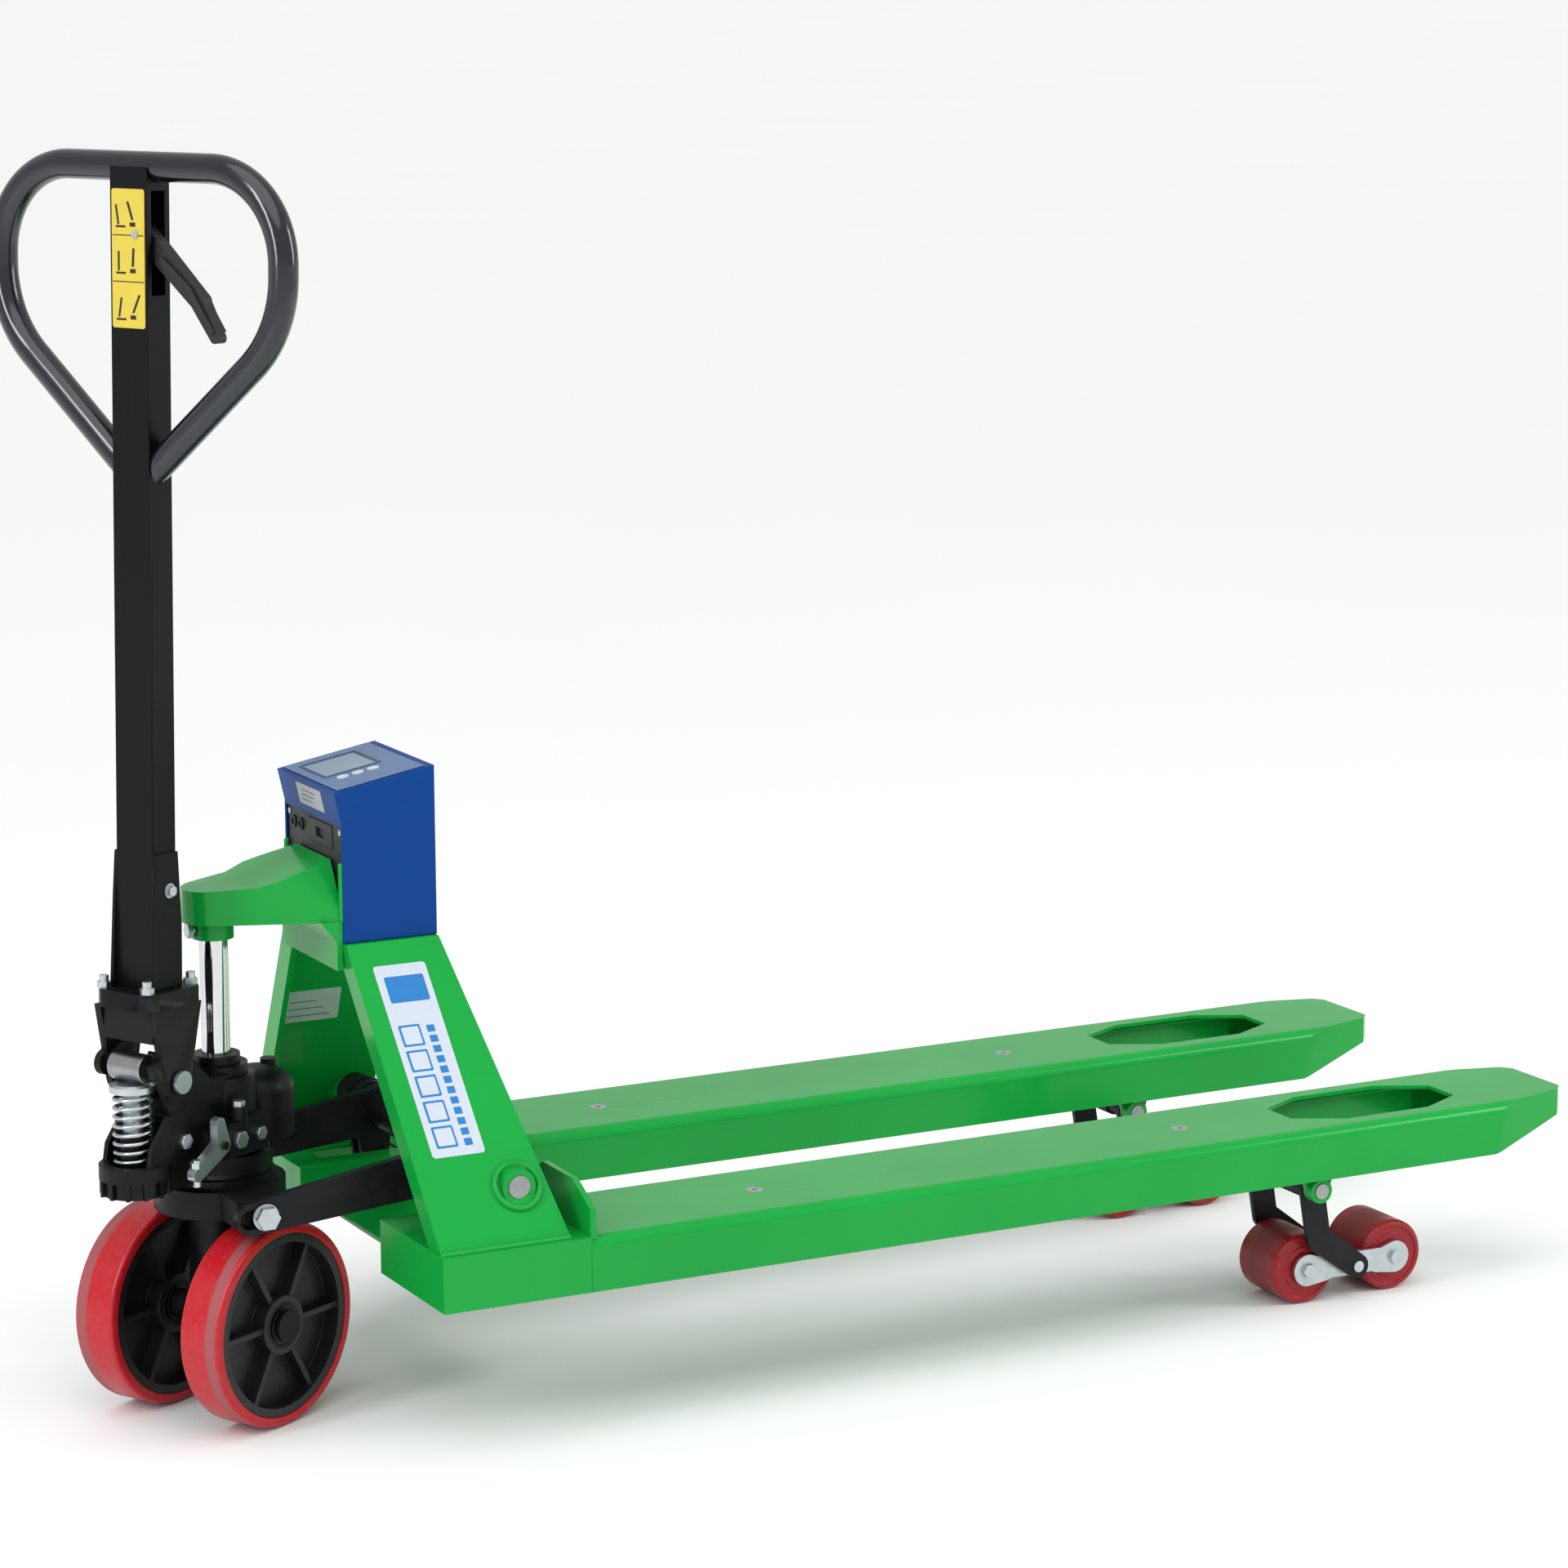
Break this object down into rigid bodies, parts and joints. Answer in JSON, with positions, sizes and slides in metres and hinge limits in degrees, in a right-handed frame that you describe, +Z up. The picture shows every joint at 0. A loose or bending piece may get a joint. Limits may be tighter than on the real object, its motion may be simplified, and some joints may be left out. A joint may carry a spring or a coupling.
{
  "type": "hand pallet truck with weighing forks",
  "caption": "Hydraulic pallet truck with two weighing forks, an indicator box, a steered pump unit with tiller handle, and tandem load rollers.",
  "frame": {"origin": "on the floor under the middle of the bounding box, forks raised", "axes": "+X towards the fork tips, +Y to the truck's left side, +Z up"},
  "size_m": [1.5951, 0.52, 1.224],
  "materials": {
    "green_paint": "gloss",
    "blue_paint": "satin",
    "black_paint": "gloss",
    "cast": "satin",
    "zinc": "zinc plated",
    "chrome_rod": "polished",
    "steel": "plain steel",
    "black_plastic": "matte",
    "grey_plastic": "keypad film",
    "key": "matte",
    "window": "display window",
    "nylon": "rim nylon",
    "red_tyre": "polyurethane",
    "dark_red_tyre": "polyurethane"
  },
  "bodies": {
    "chassis": {"cheek_left": "green_paint", "cheek_right": "green_paint", "cross_member": "green_paint", "lift_arm": "green_paint", "fork_base_left": "green_paint", "fork_base_right": "green_paint", "fork_cover_left": "green_paint", "fork_cover_right": "green_paint", "load_cells": "steel", "cover_screws": "zinc", "rocker_shaft": "steel", "lever_pivot_pins": "steel", "piston_rod": "chrome_rod", "rod_set_screw": "zinc", "indicator_housing": "blue_paint", "front_panel": "black_plastic", "keypad": "grey_plastic", "display_window": "window", "panel_screws": "zinc"},
    "battery": {"battery_pack": "black_plastic"},
    "zero_key": {"key_zero": "key"},
    "tare_key": {"key_tare": "key"},
    "power_key": {"key_power": "key"},
    "collar": {"steering_collar": "cast", "collar_bolts": "zinc", "thrust_bearing": "zinc"},
    "pump": {"pump_body": "cast", "reservoir": "cast", "pump_fasteners": "zinc", "wheel_axle": "cast", "tiller_pivot_pin": "zinc"},
    "plunger": {"plunger": "zinc", "pump_spring": "zinc"},
    "release": {"release_lever": "zinc"},
    "tiller": {"tiller_bracket": "cast", "column": "black_paint", "handle_loop": "black_paint", "foot_bolts": "zinc", "lever_pin": "zinc"},
    "control": {"control_lever": "nylon"},
    "press_roller": {"pressure_roller": "steel"},
    "wheel_left": {"rim_left": "nylon", "tyre_left": "red_tyre", "bearings_left": "steel"},
    "wheel_right": {"rim_right": "nylon", "tyre_right": "red_tyre", "bearings_right": "steel"},
    "rocker": {"rocker": "cast"},
    "push_rod_left": {"push_rod_left": "black_paint"},
    "push_rod_right": {"push_rod_right": "black_paint"},
    "lever_left": {"roller_lever_left": "cast"},
    "lever_right": {"roller_lever_right": "cast"},
    "bogie_pin_left": {"bogie_pin_left": "zinc"},
    "bogie_pin_right": {"bogie_pin_right": "zinc"},
    "bogie_left": {"bogie_left": "zinc"},
    "bogie_right": {"bogie_right": "zinc"},
    "roller_lf": {"roller_left_front": "dark_red_tyre"},
    "roller_lr": {"roller_left_rear": "dark_red_tyre"},
    "roller_rf": {"roller_right_front": "dark_red_tyre"},
    "roller_rr": {"roller_right_rear": "dark_red_tyre"}
  },
  "joints": [
    {"name": "lift", "type": "slide", "parent": "chassis", "child": "collar", "axis": [0, 0, 1], "range_m": [0, 0.112]},
    {"name": "steer", "type": "hinge", "parent": "collar", "child": "pump", "pos_m": [-0.63461, 0, 0.24], "axis": [0, 0, 1], "range_deg": [-116, 59]},
    {"name": "tiller_swing", "type": "hinge", "parent": "pump", "child": "tiller", "pos_m": [-0.71994, -0.04614, 0.352], "axis": [0.4756, -0.8796, 0], "range_deg": [0, 78]},
    {"name": "control_lever_turn", "type": "hinge", "parent": "tiller", "child": "control", "pos_m": [-0.69674, -0.04326, 1.14802], "axis": [-0.8793, -0.4754, 0.0279], "range_deg": [0, 24], "stiffness_Nm_per_rad": 1.2, "springref_deg": -20.05},
    {"name": "release_turn", "type": "hinge", "parent": "pump", "child": "release", "pos_m": [-0.65921, -0.07014, 0.283], "axis": [-0.4756, 0.8796, 0], "range_deg": [0, 9]},
    {"name": "pump_stroke", "type": "slide", "parent": "pump", "child": "plunger", "axis": [0, 0, -1], "range_m": [0, 0.0335], "deforming": ["pump_spring"]},
    {"name": "press_roller_turn", "type": "hinge", "parent": "tiller", "child": "press_roller", "pos_m": [-0.73929, -0.0566, 0.366], "axis": [-0.4756, 0.8796, 0], "continuous": true},
    {"name": "wheel_left_turn", "type": "hinge", "parent": "pump", "child": "wheel_left", "pos_m": [-0.67791, 0.05275, 0.1], "axis": [-0.4756, 0.8796, 0], "continuous": true},
    {"name": "wheel_right_turn", "type": "hinge", "parent": "pump", "child": "wheel_right", "pos_m": [-0.61418, -0.06512, 0.1], "axis": [-0.4756, 0.8796, 0], "continuous": true},
    {"name": "rocker_turn", "type": "hinge", "parent": "chassis", "child": "rocker", "pos_m": [-0.41661, 0, 0.247], "axis": [0, 1, 0], "range_deg": [0, 29]},
    {"name": "push_rod_left_turn", "type": "hinge", "parent": "rocker", "child": "push_rod_left", "pos_m": [-0.41661, 0.149, 0.168], "axis": [0, 1, 0], "range_deg": [-28.43, 0]},
    {"name": "lever_left_turn", "type": "hinge", "parent": "chassis", "child": "lever_left", "pos_m": [0.47739, 0.182, 0.13], "axis": [0, 1, 0], "range_deg": [-68.3, 0]},
    {"name": "bogie_pin_left_turn", "type": "hinge", "parent": "lever_left", "child": "bogie_pin_left", "pos_m": [0.53539, 0.182, 0.0375], "axis": [0, 1, 0], "range_deg": [0, 68.3]},
    {"name": "bogie_left_tilt", "type": "hinge", "parent": "bogie_pin_left", "child": "bogie_left", "pos_m": [0.53539, 0.182, 0.0375], "axis": [0, 1, 0], "range_deg": [-5, 5]},
    {"name": "roller_lf_turn", "type": "hinge", "parent": "bogie_left", "child": "roller_lf", "pos_m": [0.58989, 0.182, 0.0375], "axis": [0, 1, 0], "continuous": true},
    {"name": "roller_lr_turn", "type": "hinge", "parent": "bogie_left", "child": "roller_lr", "pos_m": [0.48089, 0.182, 0.0375], "axis": [0, 1, 0], "continuous": true},
    {"name": "push_rod_right_turn", "type": "hinge", "parent": "rocker", "child": "push_rod_right", "pos_m": [-0.41661, -0.149, 0.168], "axis": [0, 1, 0], "range_deg": [-28.43, 0]},
    {"name": "lever_right_turn", "type": "hinge", "parent": "chassis", "child": "lever_right", "pos_m": [0.47739, -0.182, 0.13], "axis": [0, 1, 0], "range_deg": [-68.3, 0]},
    {"name": "bogie_pin_right_turn", "type": "hinge", "parent": "lever_right", "child": "bogie_pin_right", "pos_m": [0.53539, -0.182, 0.0375], "axis": [0, 1, 0], "range_deg": [0, 68.3]},
    {"name": "bogie_right_tilt", "type": "hinge", "parent": "bogie_pin_right", "child": "bogie_right", "pos_m": [0.53539, -0.182, 0.0375], "axis": [0, 1, 0], "range_deg": [-5, 5]},
    {"name": "roller_rf_turn", "type": "hinge", "parent": "bogie_right", "child": "roller_rf", "pos_m": [0.58989, -0.182, 0.0375], "axis": [0, 1, 0], "continuous": true},
    {"name": "roller_rr_turn", "type": "hinge", "parent": "bogie_right", "child": "roller_rr", "pos_m": [0.48089, -0.182, 0.0375], "axis": [0, 1, 0], "continuous": true},
    {"name": "battery_slide", "type": "slide", "parent": "chassis", "child": "battery", "axis": [-1, 0, 0], "range_m": [0, 0.07]},
    {"name": "zero_key_press", "type": "slide", "parent": "chassis", "child": "zero_key", "axis": [0.1797, 0, -0.9837], "range_m": [0, 0.001], "stiffness_N_per_m": 800, "springref_m": -0.001},
    {"name": "tare_key_press", "type": "slide", "parent": "chassis", "child": "tare_key", "axis": [0.1797, 0, -0.9837], "range_m": [0, 0.001], "stiffness_N_per_m": 800, "springref_m": -0.001},
    {"name": "power_key_press", "type": "slide", "parent": "chassis", "child": "power_key", "axis": [0.1797, 0, -0.9837], "range_m": [0, 0.001], "stiffness_N_per_m": 800, "springref_m": -0.001}
  ],
  "couplings": [
    {"joint": "rocker_turn", "follows": "lift", "rad_per_m": 4.5114},
    {"joint": "pump_stroke", "follows": "tiller_swing", "m_per_rad": 0.024141},
    {"joint": "release_turn", "follows": "control_lever_turn", "ratio": 0.35},
    {"joint": "push_rod_left_turn", "follows": "lift", "rad_per_m": -4.4149},
    {"joint": "lever_left_turn", "follows": "lift", "rad_per_m": -10.628},
    {"joint": "bogie_pin_left_turn", "follows": "lift", "rad_per_m": 10.628},
    {"joint": "push_rod_right_turn", "follows": "lift", "rad_per_m": -4.4149},
    {"joint": "lever_right_turn", "follows": "lift", "rad_per_m": -10.628},
    {"joint": "bogie_pin_right_turn", "follows": "lift", "rad_per_m": 10.628}
  ]
}
